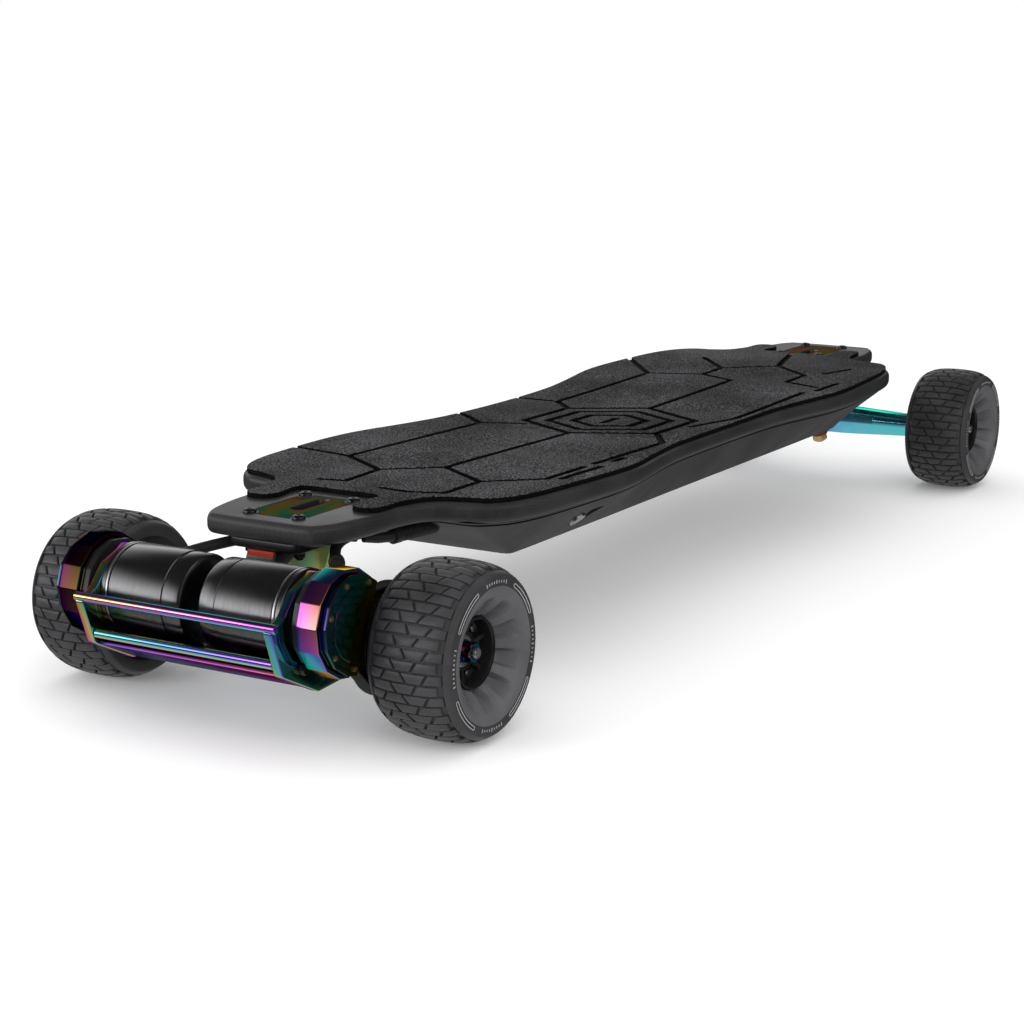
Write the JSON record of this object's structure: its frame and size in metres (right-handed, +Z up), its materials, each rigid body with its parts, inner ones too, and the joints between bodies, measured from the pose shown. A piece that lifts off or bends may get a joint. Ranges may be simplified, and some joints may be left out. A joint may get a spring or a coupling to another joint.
{
  "type": "electric skateboard",
  "caption": "Electric longboard: carbon deck with drop-through trucks, a battery enclosure under it, wide all-terrain wheels and rear belt drive behind a rod guard.",
  "frame": {"origin": "centre of the bounding box on the ground, midway between the rear guard and the front wheels' front", "axes": "+X towards the nose, +Y to the rider's left when facing the nose, +Z up"},
  "size_m": [1.1166, 0.35, 0.1334],
  "materials": {
    "carbon": "satin black carbon-fibre composite with a faint twill weave",
    "grip_foam": "matt charcoal grip foam with a coarse grain",
    "battery_wrap": "shrink-wrapped cells",
    "black_anodised": "satin black anodised, finely brushed round the axis",
    "blackened_steel": "black oxide",
    "plated_alloy": "mirror-bright rainbow plating that turns gold, pink, purple, blue and green with the angle",
    "brass_finish": "brass-coloured plating",
    "bushing_urethane": "red cast urethane",
    "bright_steel": "bright steel",
    "tyre_rubber": "matt black rubber with moulded tread blocks",
    "hub_plastic": "black moulded nylon",
    "belt_rubber": "black toothed belt rubber"
  },
  "bodies": {
    "board": {"deck": "carbon", "grip_mat": "grip_foam", "battery_enclosure": "carbon", "battery_pack": "battery_wrap", "speed_controller": "black_anodised", "front_baseplate": "plated_alloy", "front_kingpin": "brass_finish", "front_board_bushing": "bushing_urethane", "front_road_bushing": "bushing_urethane", "front_deck_bolt_1": "blackened_steel", "front_deck_bolt_2": "blackened_steel", "front_deck_bolt_3": "blackened_steel", "front_deck_bolt_4": "blackened_steel", "rear_baseplate": "plated_alloy", "rear_kingpin": "brass_finish", "rear_board_bushing": "bushing_urethane", "rear_road_bushing": "bushing_urethane", "rear_deck_bolt_1": "blackened_steel", "rear_deck_bolt_2": "blackened_steel", "rear_deck_bolt_3": "blackened_steel", "rear_deck_bolt_4": "blackened_steel"},
    "button": {"power_button": "bright_steel"},
    "front_truck": {"front_hanger": "plated_alloy", "front_axle": "bright_steel", "front_left_axle_nut": "blackened_steel", "front_right_axle_nut": "blackened_steel"},
    "rear_truck": {"rear_hanger": "plated_alloy", "rear_axle": "bright_steel", "rear_left_axle_nut": "blackened_steel", "rear_right_axle_nut": "blackened_steel", "guard_upper_rod": "plated_alloy", "guard_lower_rod": "plated_alloy", "left_motor_stator": "blackened_steel", "left_motor_mount": "plated_alloy", "left_belt_housing": "plated_alloy", "left_belt_cover": "plated_alloy", "left_drive_belt": "belt_rubber", "right_motor_stator": "blackened_steel", "right_motor_mount": "plated_alloy", "right_belt_housing": "plated_alloy", "right_belt_cover": "plated_alloy", "right_drive_belt": "belt_rubber"},
    "front_left_wheel": {"front_left_tyre": "tyre_rubber", "front_left_wheel_core": "hub_plastic", "front_left_wheel_bearings": "bright_steel"},
    "front_right_wheel": {"front_right_tyre": "tyre_rubber", "front_right_wheel_core": "hub_plastic", "front_right_wheel_bearings": "bright_steel"},
    "rear_left_wheel": {"rear_left_tyre": "tyre_rubber", "rear_left_wheel_core": "hub_plastic", "rear_left_wheel_bearings": "bright_steel", "left_wheel_pulley": "hub_plastic"},
    "rear_right_wheel": {"rear_right_tyre": "tyre_rubber", "rear_right_wheel_core": "hub_plastic", "rear_right_wheel_bearings": "bright_steel", "right_wheel_pulley": "hub_plastic"},
    "left_rotor": {"left_motor_can": "black_anodised", "left_motor_pulley": "bright_steel"},
    "right_rotor": {"right_motor_can": "black_anodised", "right_motor_pulley": "bright_steel"}
  },
  "joints": [
    {"name": "front_steer", "type": "hinge", "parent": "board", "child": "front_truck", "pos_m": [0.48325, 0, 0.058], "axis": [0.8862, 0, 0.4633], "range_deg": [-18, 18], "stiffness_Nm_per_rad": 40},
    {"name": "rear_steer", "type": "hinge", "parent": "board", "child": "rear_truck", "pos_m": [-0.43275, 0, 0.058], "axis": [-0.8862, 0, 0.4633], "range_deg": [-18, 18], "stiffness_Nm_per_rad": 40},
    {"name": "front_left_spin", "type": "hinge", "parent": "front_truck", "child": "front_left_wheel", "pos_m": [0.49825, 0.146, 0.06], "axis": [0, 1, 0], "continuous": true},
    {"name": "front_right_spin", "type": "hinge", "parent": "front_truck", "child": "front_right_wheel", "pos_m": [0.49825, -0.146, 0.06], "axis": [0, 1, 0], "continuous": true},
    {"name": "rear_left_spin", "type": "hinge", "parent": "rear_truck", "child": "rear_left_wheel", "pos_m": [-0.44775, 0.146, 0.06], "axis": [0, 1, 0], "continuous": true},
    {"name": "rear_right_spin", "type": "hinge", "parent": "rear_truck", "child": "rear_right_wheel", "pos_m": [-0.44775, -0.146, 0.06], "axis": [0, 1, 0], "continuous": true},
    {"name": "left_motor_spin", "type": "hinge", "parent": "rear_truck", "child": "left_rotor", "pos_m": [-0.50975, 0.04, 0.0867], "axis": [0, 1, 0], "continuous": true},
    {"name": "right_motor_spin", "type": "hinge", "parent": "rear_truck", "child": "right_rotor", "pos_m": [-0.50975, -0.04, 0.0867], "axis": [0, 1, 0], "continuous": true},
    {"name": "power_button_press", "type": "slide", "parent": "board", "child": "button", "axis": [0, 0.6221, 0.7829], "range_m": [0, 0.001]}
  ],
  "couplings": [
    {"joint": "left_motor_spin", "follows": "rear_left_spin", "ratio": 2.875},
    {"joint": "right_motor_spin", "follows": "rear_right_spin", "ratio": 2.875}
  ]
}
